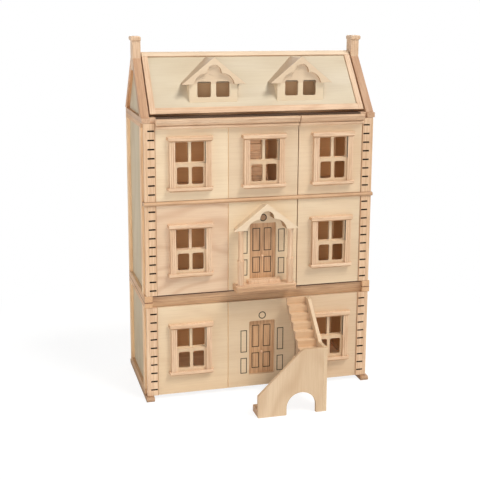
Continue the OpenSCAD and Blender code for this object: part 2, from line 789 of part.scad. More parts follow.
module wide_panel(z, windows, sill) {
    difference() {
        block([-post_in + seam, face_y, z[0]], [door_split - split_gap, rear_y, z[1]]);
        translate([bay_line, face_y, z[0] - eps]) rotate([0, 0, 45])
            cube([bay_groove / sqrt(2), bay_groove / sqrt(2), 2 * (z[1] - z[0])], center = true);
        for (x = windows) window_cut(x, z[0] + sill);
    }
}
module narrow_panel(z, sill) {
    difference() {
        block([door_split + split_gap, face_y, z[0]], [post_in - seam, rear_y, z[1]]);
        window_cut(win_right_x, z[0] + sill);
    }
}
module entrance_panel(z, up, light_up, sill_up) {
    difference() {
        wide_panel(z, [-win_x], sill_up + sill_h);
        entrance_cut(z[0] + up, light_up);
    }
    lugs(z[0] + up);
}

// Sill or lintel: a bevelled strip whose ends draw in towards the lower edge
module strip(x, z, h) {
    half = win_w / 2 + trim_over;
    back = face_y - seam;
    front = back - trim_out;
    intersection() {
        across(x - half, x + half) polygon([[back, z], [front + trim_nose, z],
            [front, z + trim_nose], [front, z + h - trim_edge], [front + trim_edge, z + h],
            [back, z + h]]);
        facing(-big, big) polygon([[x - half + trim_taper, z], [x + half - trim_taper, z],
            [x + half, z + h / 2], [x + half - trim_edge, z + h], [x - half + trim_edge, z + h],
            [x - half, z + h / 2]]);
        translate([0, 0, z - eps]) linear_extrude(h + 2 * eps) polygon([[x - half, back],
            [x + half, back], [x + half - trim_nose, front], [x - half + trim_nose, front]]);
    }
}

module jamb(x, z) {
    back = face_y - seam;
    difference() {
        block([x, back - jamb_out, z + seam], [x + jamb_w, back, z + win_h - seam]);
        for (i = [1 : flute_count])
            upright(x + jamb_w * i / (flute_count + 1), back - jamb_out, z, z + win_h, flute_r);
    }
}

// Jambs, sill and lintel of one window; z is the top of the sill
module window_trim(x, z) {
    strip(x, z - sill_h, sill_h);
    strip(x, z + win_h, lintel_h);
    for (side = [-1, 1]) translate([x, 0, 0]) on_side(side) difference() {
        jamb(win_w / 2, z);
        block([0, sash_y - swing, z - eps], [win_w / 2 + jamb_groove, face_y + eps, z + win_h + eps]);
    }
}

module sash(x, z) {
    h = sash_h - sash_rail - sash_top;
    facing(sash_y, sash_y + sash_t) difference() {
        translate([x - sash_w / 2, z + swing]) square([sash_w, sash_h]);
        for (px = [x - sash_bar_w / 2 - sash_pane_w, x + sash_bar_w / 2])
            translate([px, z + swing + sash_rail]) rounded(sash_pane_w, h, sash_r);
    }
}

// A round bead, a neck, a quarter-round bulge and a flat lip on top
module cornice(x0, x1) {
    bottom = z_attic - cornice_drop;
    back = face_y - seam;
    bead = back - cornice_t;
    lip = bottom + 2 * bead_r + bulge_r;
    across(x0, x1) {
        translate([bead, bottom]) square([cornice_t, 2 * bead_r]);
        translate([bead, bottom + bead_r]) circle(bead_r);
        translate([bead + neck_in, bottom]) square([cornice_t - neck_in, lip - bottom]);
        intersection() {
            translate([bead + neck_in, lip]) circle(bulge_r);
            translate([bead + neck_in - bulge_r, bottom]) square([bulge_r + neck_in, lip - bottom]);
        }
        translate([bead - bulge_r, lip]) square([cornice_t + bulge_r, lip_h]);
    }
}

module panel_top_left() at_house() color("cornsilk")
    wide_panel(doors_top, [-win_x, entry_x], win_up_top + sill_h);
module panel_top_right() at_house() color("cornsilk")
    narrow_panel(doors_top, win_up_top + sill_h);
module panel_middle_left() at_house() color("cornsilk") 
    entrance_panel(doors_middle, porch_up, porch_light_up, win_up);
module panel_middle_right() at_house() color("cornsilk")
    narrow_panel(doors_middle, win_up + sill_h);
module panel_ground_left() at_house() color("cornsilk") 
    entrance_panel(doors_ground, entry_up, sidelight_up, win_up_ground);
module panel_ground_right() at_house() color("cornsilk")
    narrow_panel(doors_ground, win_up_ground + sill_h);

module post_top_left() at_house() color("burlywood") post(-1, doors_top);
module post_top_right() at_house() color("burlywood") post(1, doors_top);
module post_middle_left() at_house() color("burlywood") post(-1, doors_middle);
module post_middle_right() at_house() color("burlywood") post(1, doors_middle);
module post_ground_left() at_house() color("burlywood") post(-1, doors_ground);
module post_ground_right() at_house() color("burlywood") post(1, doors_ground);

sill_ground = doors_ground[0] + win_up_ground + sill_h;
sill_middle = doors_middle[0] + win_up + sill_h;
sill_top = doors_top[0] + win_up_top + sill_h;
module trim_top_left() at_house() color("tan") {
    window_trim(-win_x, sill_top);
    window_trim(entry_x, sill_top);
}
module trim_top_right() at_house() color("tan") window_trim(win_right_x, sill_top);
module trim_middle_left() at_house() color("tan") window_trim(-win_x, sill_middle);
module trim_middle_right() at_house() color("tan") window_trim(win_right_x, sill_middle);
module trim_ground_left() at_house() color("tan") window_trim(-win_x, sill_ground);
module trim_ground_right() at_house() color("tan") window_trim(win_right_x, sill_ground);

module sash_top_left() at_house() color("wheat") sash(-win_x, sill_top);
module sash_top_middle() at_house() color("wheat") sash(entry_x, sill_top);
module sash_top_right() at_house() color("wheat") sash(win_right_x, sill_top);
module sash_middle_left() at_house() color("wheat") sash(-win_x, sill_middle);
module sash_middle_right() at_house() color("wheat") sash(win_right_x, sill_middle);
module sash_ground_left() at_house() color("wheat") sash(-win_x, sill_ground);
module sash_ground_right() at_house() color("wheat") sash(win_right_x, sill_ground);

module cornice_left() at_house() color("burlywood") cornice(-post_in + seam, door_split - split_gap);
module cornice_right() at_house() color("burlywood") cornice(door_split + split_gap, post_in - seam);

// ---- Entrances and porch ----

module leaf(z) {
    left = entry_x - entry_w / 2;
    z0 = z - leaf_lap;
    z1 = z + entry_h + leaf_lap;
    difference() {
        union() {
            block([left - leaf_lap, leaf_y, z0], [leaf_hinge_x, leaf_y + leaf_t, z1]);
            upright(leaf_hinge_x, leaf_y + leaf_t / 2, z0, z1, leaf_t / 2);
        }
        facing(-big, leaf_y + line_deep) for (x = [leaf_edge, entry_w - leaf_edge - leaf_panel_w])
            translate([left + x, z + leaf_panel_up]) panel_pair(leaf_panel_w);
    }
    upright(leaf_hinge_x, leaf_y + leaf_t / 2, z0 - leaf_pin_l, z1 + leaf_pin_l, leaf_pin_r);
    translate([entry_x, leaf_y + eps, z + knob_up]) rotate([90, 0, 0]) {
        cylinder(h = knob_out, r = knob_stem_r);
        translate([0, 0, knob_out + eps]) sphere(r = knob_r);
    }
}
module porch_door() at_house() color("peru") leaf(doors_middle[0] + porch_up);
module ground_door() at_house() color("peru") leaf(doors_ground[0] + entry_up);

module column(x) {
    low = slab_top + seam;
    high = ped_base - seam;
    waist = low + waist_up;
    translate([x, column_y, 0]) {
        translate([0, 0, low]) cylinder(h = waist_up, r = column_r);
        translate([0, 0, waist]) cylinder(h = ring_h, r = column_r + ring_out);
        translate([0, 0, waist + ring_h]) cylinder(h = high - waist - ring_h, r = column_top_r);
        translate([0, 0, high - head_h]) cylinder(h = head_h, r = column_r);
    }
}

module porch_slab() {
    half = slab_w / 2;
    back = face_y - seam;
    front = ped_front - slab_nose;
    difference() {
        intersection() {
            across(entry_x - half, entry_x + half) polygon([[back, slab_z],
                [front + slab_bevel, slab_z], [front, slab_z + slab_bevel],
                [front, slab_top - slab_bevel], [front + slab_bevel, slab_top],
                [back, slab_top]]);
            translate([entry_x, 0, slab_z - eps]) linear_extrude(slab_h + 2 * eps)
                polygon([[-half, back], [half, back], [half, front + slab_corner],
                    [half - slab_corner, front], [-half + slab_corner, front],
                    [-half, front + slab_corner]]);
        }
        translate([entry_x - half - eps, front, slab_z + slab_h / 2])
            rotate([0, 90, 0]) cylinder(h = 2 * half + 2 * eps, r = slab_groove_r);
    }
}

module porch() at_house() color("tan") {
    back = face_y - seam;
    board_back = ped_front + ped_t;
    step_in = porch_step * ped_w / 2 / ped_h;
    difference() {
        union() {
            facing(ped_front, board_back) translate([entry_x, ped_base]) gable_outline(ped_w, ped_h);
            facing(board_back, back) translate([entry_x, ped_base])
                gable_outline(ped_w - 2 * step_in, ped_h - porch_step);
        }
        facing(ped_front - eps, back + eps) translate([entry_x, ped_base]) trefoil();
    }
    for (x = [-column_x, column_x]) column(entry_x + x);
    porch_slab();
    block([entry_x - step_w / 2, back - step_d, slab_top + seam],
        [entry_x + step_w / 2, back, slab_top + step_h]);
}

// ---- Stair ----

module arch(x) translate([x - arch_w / 2, 0]) {
    translate([0, -eps]) square([arch_w, arch_h - arch_w / 2 + eps]);
    translate([arch_w / 2, arch_h - arch_w / 2]) circle(arch_w / 2);
}

// One step of a flight that climbs along the outline's first axis, with its front edge at z
module step(depth, z) polygon([[0, z], [depth - seam, z], [depth - seam, z - flight_t],
    [0, max(0, z - flight_t - riser)]]);

module stair_cheeks() at_house() color("wheat") {
    top = landing_z + cheek_up;
    arch_x = (stair_end + stair_right) / 2 + arch_off;
    facing(front_y, inner_y) difference() {
        polygon([[stair_end, 0], [stair_right - cheek_t - seam, 0],
            [stair_right - cheek_t - seam, top], [landing_left, top],
            [landing_left - cheek_cut, top - cheek_cut_h], [stair_end, cheek_low]]);
        arch(arch_x);
    }
    across(stair_right - cheek_t, stair_right) difference() {
        polygon([[front_y, 0], [stair_back, 0], [stair_back, stair_top],
            [stair_back - cheek_flat, stair_top],
            [landing_back - riser, top], [front_y, top]]);
        arch((inner_y + stair_back) / 2);
    }
}

module stair_steps() at_house() color("burlywood") {
    right = stair_right - cheek_t - seam;
    low_y = inner_y + seam;
    block([landing_left, low_y, landing_z - riser - flight_t],
        [right, landing_back - seam, landing_z]);
    for (i = [1 : upper_count]) {
        depth = i < upper_count ? upper_tread : top_tread;
        translate([0, landing_back + (i - 1) * upper_tread, 0]) across(landing_left, right)
            step(depth, landing_z + i * riser);
    }
    for (i = [1 : lower_count])
        translate([landing_left - i * lower_tread, 0, 0]) facing(low_y, landing_back - seam - lower_in)
            step(lower_tread, landing_z - i * riser);
}

runners();
ground_floor();
ground_frame_left();
ground_frame_right();
ground_side_panels();
ground_back();
ground_ceiling();
middle_floor();
upper_frame_left();
upper_frame_right();
upper_side_panels();
upper_back();
partitions();
top_floor();
string_course();
inner_stairs();
attic_floor();
gable_frame_left();
gable_frame_right();
gable_panels();
chimneys();
roof_back();
hinge_pins();
roof_front_frame();
roof_front_panel();
dormer_left();
dormer_right();
panel_top_left();
panel_top_right();
panel_middle_left();
panel_middle_right();
panel_ground_left();
panel_ground_right();
post_top_left();
post_top_right();
post_middle_left();
post_middle_right();
post_ground_left();
post_ground_right();
trim_top_left();
trim_top_right();
trim_middle_left();
trim_middle_right();
trim_ground_left();
trim_ground_right();
sash_top_left();
sash_top_middle();
sash_top_right();
sash_middle_left();
sash_middle_right();
sash_ground_left();
sash_ground_right();
cornice_left();
cornice_right();
porch();
porch_door();
ground_door();
stair_cheeks();
stair_steps();
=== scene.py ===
# %% [markdown]
# # A three-storey wooden dollhouse
# The house is a joiner's object: beech frames with thin plywood let into them,
# plywood front doors on corner posts, and small trims glued on. The exact
# model already holds every board in its true place, so this lesson gives each
# board its softened edges and its wood, then sets the light and the camera.
# Every length below is in metres, because the frame is.

# %% Load the frame
import math

import bmesh
import bpy
from mathutils import Matrix, Vector


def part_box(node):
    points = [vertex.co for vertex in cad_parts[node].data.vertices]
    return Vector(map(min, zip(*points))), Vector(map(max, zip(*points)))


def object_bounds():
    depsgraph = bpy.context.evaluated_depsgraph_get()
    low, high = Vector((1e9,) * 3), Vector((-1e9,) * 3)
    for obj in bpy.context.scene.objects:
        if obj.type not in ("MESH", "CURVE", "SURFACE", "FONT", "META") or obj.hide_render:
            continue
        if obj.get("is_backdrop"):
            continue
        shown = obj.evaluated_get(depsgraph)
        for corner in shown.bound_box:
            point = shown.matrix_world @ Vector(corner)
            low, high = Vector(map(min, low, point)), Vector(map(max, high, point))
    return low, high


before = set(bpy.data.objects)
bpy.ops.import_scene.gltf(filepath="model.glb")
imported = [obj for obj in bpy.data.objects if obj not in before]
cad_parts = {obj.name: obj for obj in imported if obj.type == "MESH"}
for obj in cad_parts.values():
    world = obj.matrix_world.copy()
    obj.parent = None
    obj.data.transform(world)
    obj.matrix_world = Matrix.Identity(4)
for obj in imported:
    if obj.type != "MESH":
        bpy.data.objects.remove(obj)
cad_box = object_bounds()
MM = 0.001


def spread(node):
    """The box of a node as (x0, x1), (y0, y1), (z0, z1)."""
    low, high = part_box(node)
    return tuple(zip(low, high))


# %% [markdown]
# ## The camera
# A product picture of a tall object is taken from some distance, a little to
# its left and above its middle. A long lens keeps the uprights almost
# parallel. The lens is also shifted down, as on a view camera, so that it
# dips less and the verticals lean less. It is rolled by a fifth of a degree.

# %% Place the camera
TURN, DIP, ROLL = math.radians(14.95), math.radians(11.64), math.radians(0.22)
front = spread("post_top_left")[1][0]
eye = Vector((-0.6548, front - 2.2416, 0.9952))
ahead = Vector(
    (math.sin(TURN) * math.cos(DIP), math.cos(TURN) * math.cos(DIP), -math.sin(DIP))
)
level = Vector((math.cos(TURN), -math.sin(TURN), 0))
above = level.cross(ahead)
right = level * math.cos(ROLL) + above * math.sin(ROLL)
up = above * math.cos(ROLL) - level * math.sin(ROLL)
lens = bpy.data.cameras.new("camera")
FOCAL_MM, SENSOR_MM, SHIFT = 70.125, 36, -0.0833
lens.lens, lens.sensor_width, lens.shift_y = FOCAL_MM, SENSOR_MM, SHIFT
lens.clip_start, lens.clip_end = 0.1, 50
camera = bpy.data.objects.new("camera", lens)
camera.matrix_world = Matrix((right, up, -ahead)).transposed().to_4x4()
camera.location = eye
bpy.context.scene.collection.objects.link(camera)
bpy.context.scene.camera = camera
print("the camera is", round(eye.length, 2), "m from the middle of the floor")

# %% [markdown]
# ## Shader arithmetic
# Wood grain is a formula of the place on the board: how far along the grain,
# how far across it. Written as node links such a formula is hard to read, so
# one small class wraps a socket and lets Python's own operators add the Math
# nodes. Every other node comes from one method, which takes its settings
# first and then the values or links of its sockets.


# %% Wrap a socket
class Sig:
    """A socket of a shader tree, with arithmetic."""

    def __init__(self, tree, socket=None):
        self.tree, self.socket = tree, socket

    def node(self, kind, settings=None, inputs=None, out=0):
        made = self.tree.nodes.new(kind)
        for name, value in (settings or {}).items():
            setattr(made, name, value)
        for name, value in (inputs or {}).items():
            if isinstance(value, Sig):
                self.tree.links.new(value.socket, made.inputs[name])
            else:
                made.inputs[name].default_value = value
        return Sig(self.tree, made.outputs[out])

    def math(self, operation, *values):
        return self.node(
            "ShaderNodeMath", {"operation": operation}, dict(enumerate(values))
        )

    def __add__(self, other):
        return self.math("ADD", self, other)

    def __sub__(self, other):
        return self.math("SUBTRACT", self, other)

    def __rsub__(self, other):
        return self.math("SUBTRACT", other, self)

    def __mul__(self, other):
        return self.math("MULTIPLY", self, other)

    def __gt__(self, other):
        return self.math("GREATER_THAN", self, other)

    def __lt__(self, other):
        return self.math("LESS_THAN", self, other)

    def __abs__(self):
        return self.math("ABSOLUTE", self)

    __radd__, __rmul__ = __add__, __mul__


# %% [markdown]
# A few short helpers read better than the nodes behind them: a soft step, a
# band between two limits, a mix of two colours, and a colour written as it
# shows on a screen, from 0 to 255.


# %% Helpers for values and colours
def step(value, low, high):
    """0 below low, 1 above high, smooth between them."""
    return value.node(
        "ShaderNodeMapRange",
        {"interpolation_type": "SMOOTHSTEP"},
        {"Value": value, "From Min": low, "From Max": high},
    )


def band(value, low, high):
    """1 between low and high, else 0."""
    return (value > low) * (value < high)


def mix(share, first, second):
    """The first colour, with a share of the second."""
    return share.node(
        "ShaderNodeMix", {"data_type": "RGBA"}, {0: share, 6: first, 7: second}, 2
    )


def vector(x, y, z):
    owner = next(v for v in (x, y, z) if isinstance(v, Sig))
    return owner.node("ShaderNodeCombineXYZ", None, {0: x, 1: y, 2: z})


def noise(place, scale, detail=2):
    return place.node(
        "ShaderNodeTexNoise",
        None,
        {"Vector": place, "Scale": scale, "Detail": detail, "Roughness": 0.55},
    )


def tinted(share, colour, tint):
    """The colour, where the share is 1 multiplied by the tint."""
    return share.node(
        "ShaderNodeMix",
        {"data_type": "RGBA", "blend_type": "MULTIPLY"},
        {0: share, 6: colour, 7: tint},
        2,
    )


def tone(red, green, blue):
    """A colour from its screen values."""
    share = [v / 255 for v in (red, green, blue)]
    return tuple(
        v / 12.92 if v <= 0.04045 else ((v + 0.055) / 1.055) ** 2.4 for v in share
    ) + (1,)


# %% [markdown]
# ## The wood
# Cut wood shows four things at once. The tone drifts slowly over a board. The
# growth rings surface as long lines that close into pointed arches. Fine
# fibre runs the length of the board. In beech short dark flecks lie on top.
# All four are noise that is stretched along the grain, so one function makes
# them, and a board's look says how strong each is. Because the noise fills
# space, the end of a board shows cut fibre and its face shows streaks. The
# stretches say how far each pattern is drawn out: a small one makes long lines.


# %% One function for every wood
class Look:
    """The colours of a wood, and how strong its rings, fibre and flecks are."""

    def __init__(self, pale, mid, dark, rings, fibre, fleck, spacing=9):
        self.pale, self.mid, self.dark = tone(*pale), tone(*mid), tone(*dark)
        self.rings, self.fibre, self.fleck = rings, fibre, fleck
        self.spacing = spacing


BEECH = Look((229, 200, 170), (219, 186, 153), (180, 134, 99), 0.18, 0.38, 0.5, 8)
PLY = Look((229, 208, 177), (223, 199, 166), (200, 167, 133), 0.14, 0.14, 0.1, 5)
ROOF_PLY = Look((211, 198, 175), (204, 189, 162), (184, 161, 132), 0.12, 0.14, 0.08, 5)
DOOR_WOOD = Look((217, 179, 140), (205, 162, 122), (150, 106, 70), 0.2, 0.5, 0.4, 14)


RING_STRETCH, FIBRE_STRETCH, FLECK_STRETCH = 0.3, 0.04, 0.12
DRIFT_SCALE, RING_SCALE, FIBRE_SCALE, FLECK_SCALE = 9, 7, 300, 620
RING_DEPTH = 0.4


def wood(along, across, deep, look):
    """The colour and the height of a board, from its place along, across and through it."""
    slow = vector(along * RING_STRETCH, across, deep)
    drift = step(noise(slow, DRIFT_SCALE, 2), 0.3, 0.7)
    field = noise(slow, RING_SCALE, 1) * look.spacing
    ring = step(field.math("PINGPONG", field, 0.5) * 2, 0.35, 1.0)
    fine = noise(vector(along * FIBRE_STRETCH, across, deep), FIBRE_SCALE, 3)
    streak = step(fine, 0.44, 0.62)
    short = vector(along * FLECK_STRETCH, across, deep)
    flecks = step(noise(short, FLECK_SCALE, 1), 0.6, 0.7)
    colour = mix(drift, look.pale, look.mid)
    colour = mix(ring * look.rings, colour, look.dark)
    colour = mix(streak * look.fibre, colour, look.dark)
    colour = mix(flecks * (0.5 * look.fleck), colour, look.dark)
    return colour, fine - ring * RING_DEPTH


# %% [markdown]
# ## Finishing a board
# A finish reads the place on the board in the frame's own metres. The boards
# don't move inside their bodies, so this place rides with a door as it
# swings. The satin lacquer is a roughness near 0.5 that the fibre changes a
# little, and a very low bump.

# %% Build a material from a recipe
RELIEF, BUMP = 0.12 * MM, 0.5
LACQUER, LACQUER_CHANGE = 0.58, -0.16


def finish(name, recipe):
    """A material; recipe(x, y, z, nx, ny, nz) gives its colour and height."""
    material = bpy.data.materials.new(name)
    material.use_nodes = True
    tree = material.node_tree
    sig = Sig(tree)
    spot = sig.node("ShaderNodeTexCoord", None, None, 3)
    facing = sig.node("ShaderNodeTexCoord", None, None, 1)
    places = [
        sig.node("ShaderNodeSeparateXYZ", None, {0: source}, axis)
        for source in (spot, facing)
        for axis in range(3)
    ]
    colour, height = recipe(*places)
    shader = tree.nodes["Principled BSDF"]
    tree.links.new(colour.socket, shader.inputs["Base Color"])
    rough = height * LACQUER_CHANGE + LACQUER
    tree.links.new(rough.socket, shader.inputs["Roughness"])
    bump = height.node(
        "ShaderNodeBump",
        None,
        {"Height": height, "Strength": BUMP, "Distance": RELIEF},
    )
    tree.links.new(bump.socket, shader.inputs["Normal"])
    return material


def dress(material, *nodes):
    """Gives CAD nodes a material."""
    for node in nodes:
        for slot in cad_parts[node].material_slots:
            slot.material = material
    print(f"{material.name} on {len(nodes)} of the pieces")


# %% [markdown]
# ## Soft edges
# No wooden edge is a mathematical line: sandpaper has rounded it, and that is
# what catches the light. A plain board has about half a millimetre, a thin
# cut piece less, a frame or a window trim well over one. The modifiers first
# join the split corners of each board, melt its flat triangles into single
# faces, and then bevel what is left. The boards' own meshes stay untouched.


# %% Soften the edges of boards
SAME_POINT, NEARLY_FLAT, A_CORNER = 1e-6, 0.01, math.radians(40)
FINE_ROUND, BOARD_ROUND, TRIM_ROUND, FRAME_ROUND = 0.25 * MM, 0.6 * MM, 1.4 * MM, 1.8 * MM


def soften(width, *nodes):
    for node in nodes:
        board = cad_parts[node]
        board.modifiers.new("joined", "WELD").merge_threshold = SAME_POINT
        flat = board.modifiers.new("flat", "DECIMATE")
        flat.decimate_type, flat.angle_limit = "DISSOLVE", NEARLY_FLAT
        edge = board.modifiers.new("sanded", "BEVEL")
        edge.width, edge.segments, edge.limit_method = width, 2, "ANGLE"
        edge.angle_limit = A_CORNER


FINE_EDGES = [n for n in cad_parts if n.startswith(("panel_", "sash_", "post_"))]
FINE_EDGES += ["porch_door", "ground_door", "hinge_pins", "inner_stairs"]
soften(FINE_ROUND, *FINE_EDGES)
TRIMS = [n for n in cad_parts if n.startswith("trim_")]
soften(TRIM_ROUND, *TRIMS)
FRAME_NAMES = ("ground_frame", "upper_frame", "runners")
FRAMES = [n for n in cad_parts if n.startswith(FRAME_NAMES)]
soften(FRAME_ROUND, *FRAMES)
SPECIAL = FINE_EDGES + TRIMS + FRAMES
soften(BOARD_ROUND, *(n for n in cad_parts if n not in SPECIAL))
print(len(FINE_EDGES), "finely cut pieces have the smaller rounding")

# %% [markdown]
# ## Which way the grain runs
# A joiner cuts every member along the grain. So each finish says which way
# its boards run. A frame holds uprights and rails in one piece of the model,
# and there a mask picks the direction by place. The rails also read the
# noise from somewhere else, because they were sawn from another board.


# %% Grain directions
def run_x(x, y, z):
    return x, z, y


def run_y(x, y, z):
    return y, z, x


def run_z(x, y, z):
    return z, x, y


PITCH = math.radians(50)
SIN, COS = math.sin(PITCH), math.cos(PITCH)


def run_up_slope(x, y, z):
    """Along the front slope of the roof."""
    return y * COS + z * SIN, x, z * COS - y * SIN


ELSEWHERE = 0.31


def other_board(mask, first, second):
    """The first direction, or where the mask is 1 the second, read elsewhere."""
    return tuple(a + mask * (b - a + ELSEWHERE) for a, b in zip(first, second))


def plain(run, look):
    """A recipe for boards that all run one way."""
    return lambda x, y, z, *facing: wood(*run(x, y, z), look)


# %% [markdown]
# ## Plywood
# Plywood is veneers glued crosswise, so its faces are calm and its edges show
# stripes. The stripes lie where the face turns away from the sheet's own
# direction, about one and a half millimetres apart.

# %% Plywood sheets
VENEER = 1.5 * MM


def layers(place):
    """Stripes of glued veneers, 0 to 1."""
    return step(place.math("PINGPONG", place, VENEER) * (1 / VENEER), 0.35, 0.65)


def sheet(run, look, through, turned):
    """A recipe for plywood. through and turned pick the sheet's thickness axis."""

    def recipe(*values):
        colour, height = wood(*run(*values[:3]), look)
        edge = abs(values[turned]) < 0.5
        return mix(edge * (layers(values[through]) * 0.5 + 0.15), colour, look.dark), height

    return recipe


PLY_FACING_Y = sheet(run_x, PLY, 1, 4)
PLY_FACING_X = sheet(run_z, PLY, 0, 3)

# %% [markdown]
# ## The rooms
# Inside, the back walls and the side walls get a brown painted shade on their
# inner faces, the underside of the rear roof about a third of it, and the
# partitions more than half of it on every face, so the rooms look deep and
# warm through the windows. A sheet knows its inner face by the direction that
# the face looks: the back wall's looks forward, the roof sheet's looks
# forward and down.

# %% Walls and partitions
# The room tint is a brown painted shade that stands in for the dim light in the rooms.
ROOM_SHADE = (1.0, 0.74, 0.52, 1)
SIDE_PLY = Look((204, 187, 158), (194, 176, 146), (167, 142, 112), 0.14, 0.22, 0.1, 5)


def shade_inside(recipe, inside):
    """The recipe, with brown painted shade where inside(x, y, z, nx, ny, nz) is 1."""

    def both(*values):
        colour, height = recipe(*values)
        return tinted(inside(*values), colour, ROOM_SHADE), height

    return both


def looks_forward(x, y, z, nx, ny, nz):
    return ny < -0.3


def looks_inward(x, y, z, nx, ny, nz):
    return (x * nx) < -0.1


back_wall = shade_inside(PLY_FACING_Y, looks_forward)
side_wall = shade_inside(sheet(run_z, SIDE_PLY, 0, 3), looks_inward)
# The partitions get that painted shade at 0.6 of its strength on every face.
partition = shade_inside(PLY_FACING_X, lambda x, *others: x * 0 + 0.6)
dress(finish("back wall plywood", back_wall), "ground_back", "upper_back")
dress(finish("side plywood", side_wall), "ground_side_panels", "upper_side_panels")
dress(finish("gable plywood", side_wall), "gable_panels")
dress(finish("partition plywood", partition), "partitions")

# %% [markdown]
# ## Shade that is part of the colour
# In this studio some gaps and edges come out lighter than they should. There
# the colour is multiplied by a tint that stands in for shade, and such a tint
# has SHADE in its name. It belongs to a place on the board, so it looks the
# same from every side, but it also stays when the lamps change. Without it
# the bare wood shows.

# %% [markdown]
# ## Floors, ceilings and the inner stairs
# Their front edges show as bands between the doors. The boards run from side
# to side, which is how a joiner lays them for stiffness. The moulding between
# the storeys and the fascia over the ground floor are a redder, darker beech,
# and below the fascia's top they carry a little painted shade as well.
# The front strip of the attic floor lies deep in the gap under the flap, and
# the floor of the middle storey has a gap below the doors, so both are shaded.

# %% Floors
RED_BEECH = Look((206, 169, 133), (192, 152, 115), (150, 106, 72), 0.18, 0.38, 0.4, 8)
DARK_BEECH = Look((184, 149, 118), (170, 134, 103), (136, 98, 68), 0.18, 0.35, 0.4, 8)
dress(
    finish("floor boards", plain(run_x, BEECH)),
    "ground_floor",
    "top_floor",
    "cornice_left",
    "cornice_right",
)
FLAP_SHADE = (0.1, 0.07, 0.05, 1)
ATTIC_STRIP, ATTIC_HALF = 25 * MM, 268 * MM
attic_front = spread("attic_floor")[1][0]


def attic(x, y, z, *facing):
    colour, height = wood(*run_x(x, y, z), BEECH)
    under_flap = (y < attic_front + ATTIC_STRIP) * (abs(x) < ATTIC_HALF)
    return tinted(under_flap, colour, FLAP_SHADE), height


dress(finish("attic floor boards", attic), "attic_floor")
# Below the fascia's top these mouldings get a little painted shade.
FASCIA_SHADE = (0.9, 0.89, 0.85, 1)
GAP_SHADE, GAP_HEIGHT = (0.16, 0.11, 0.09, 1), 4.5 * MM
gap_top = spread("middle_floor")[2][1]
fascia_top = spread("ground_ceiling")[2][1]


def moulding(x, y, z, *facing):
    colour, height = wood(*run_x(x, y, z), RED_BEECH)
    colour = tinted(z < fascia_top, colour, FASCIA_SHADE)
    return tinted(band(z, gap_top - GAP_HEIGHT, gap_top), colour, GAP_SHADE), height


dress(
    finish("red mouldings", moulding),
    "string_course",
    "ground_ceiling",
    "middle_floor",
)
dress(finish("inner stairs", plain(run_x, BEECH)), "inner_stairs")
dress(finish("runners", plain(run_y, DARK_BEECH)), "runners")

# %% [markdown]
# ## Side frames
# Each side wall is a frame: two uprights stand between a lower and an upper
# rail. The rails run through to the front, where their ends show as blocks.
# They are browner than the uprights. Where the two storeys meet, the joint is
# shaded. Two small dark pin heads show in the left ground frame.

# %% Side frames
SIDES = ("left", "right")
RAIL_BROWN, JOINT_SHADE = (0.76, 0.68, 0.63, 1), (0.3, 0.2, 0.15, 1)
SIDE_BEECH = Look((246, 211, 170), (238, 200, 156), (192, 146, 104), 0.18, 0.38, 0.4, 8)
PIN_HEAD, HEAD_RADIUS, HEAD_INSET = tone(70, 58, 52), 1.6 * MM, 6 * MM
ground_y0 = spread("ground_frame_left")[1][0]
(ground_z0, ground_z1) = spread("ground_frame_left")[2]
(upper_z0, upper_z1) = spread("upper_frame_left")[2]
LOW_RAIL, MIDDLE_RAIL, TOP_RAIL, HALF_JOINT = 14 * MM, 16.5 * MM, 12 * MM, 1.3 * MM
HEADS = [
    (ground_y0 + 9 * MM, ground_z1 - HEAD_INSET),
    (ground_y0 + 51 * MM, ground_z0 + HEAD_INSET),
]


def side_frame(x, y, z, *facing):
    rails = band(z, ground_z0, ground_z0 + LOW_RAIL)
    rails = band(z, ground_z1 - LOW_RAIL, upper_z0 + MIDDLE_RAIL) + rails
    rails = band(z, upper_z1 - TOP_RAIL, upper_z1) + rails
    spot = other_board(rails, run_z(x, y, z), run_y(x, y, z))
    colour, height = wood(*spot, SIDE_BEECH)
    colour = tinted(rails, colour, RAIL_BROWN)
    joint = band(z, upper_z0 - HALF_JOINT, upper_z0 + HALF_JOINT)
    colour = tinted(joint, colour, JOINT_SHADE)
    for head_y, head_z in HEADS:
        off = vector(x * 0, y - head_y, z - head_z)
        off = off.node("ShaderNodeVectorMath", {"operation": "LENGTH"}, {0: off}, 1)
        colour = mix((x < 0) * (off < HEAD_RADIUS), colour, PIN_HEAD)
    return colour, height


dress(
    finish("side frames", side_frame),
    *(f"{storey}_frame_{side}" for storey in ("ground", "upper") for side in SIDES),
)

# %% [markdown]
# ## Gables and chimneys
# A gable is a triangle of three members. Its base runs front to back, and
# each sloping member runs along its slope: the distance from the middle
# plane, turned by the pitch, gives the place along it. The rear member is a
# more orange board. The front one is shaded.

# %% Gables
(gable_y0, gable_y1) = spread("gable_frame_left")[1]
gable_z0 = spread("gable_frame_left")[2][0]
ridge_y = (gable_y0 + gable_y1) / 2
GABLE_RAIL = 13 * MM
ORANGE = (0.92, 0.72, 0.55, 1)
GABLE_SHADE = (0.69, 0.57, 0.48, 1)


def gable(x, y, z, *facing):
    out = abs(y - ridge_y)
    slope = (z * SIN - out * COS, out * SIN + z * COS, x)
    base = z < gable_z0 + GABLE_RAIL
    colour, height = wood(*other_board(base, slope, run_y(x, y, z)), BEECH)
    colour = tinted(base, colour, RAIL_BROWN)
    colour = tinted((y < ridge_y) * (1 - base), colour, GABLE_SHADE)
    return tinted((y > ridge_y) * (1 - base), colour, ORANGE), height


dress(finish("gable frame", gable), "gable_frame_left", "gable_frame_right")
dress(finish("chimney blocks", plain(run_z, BEECH)), "chimneys")
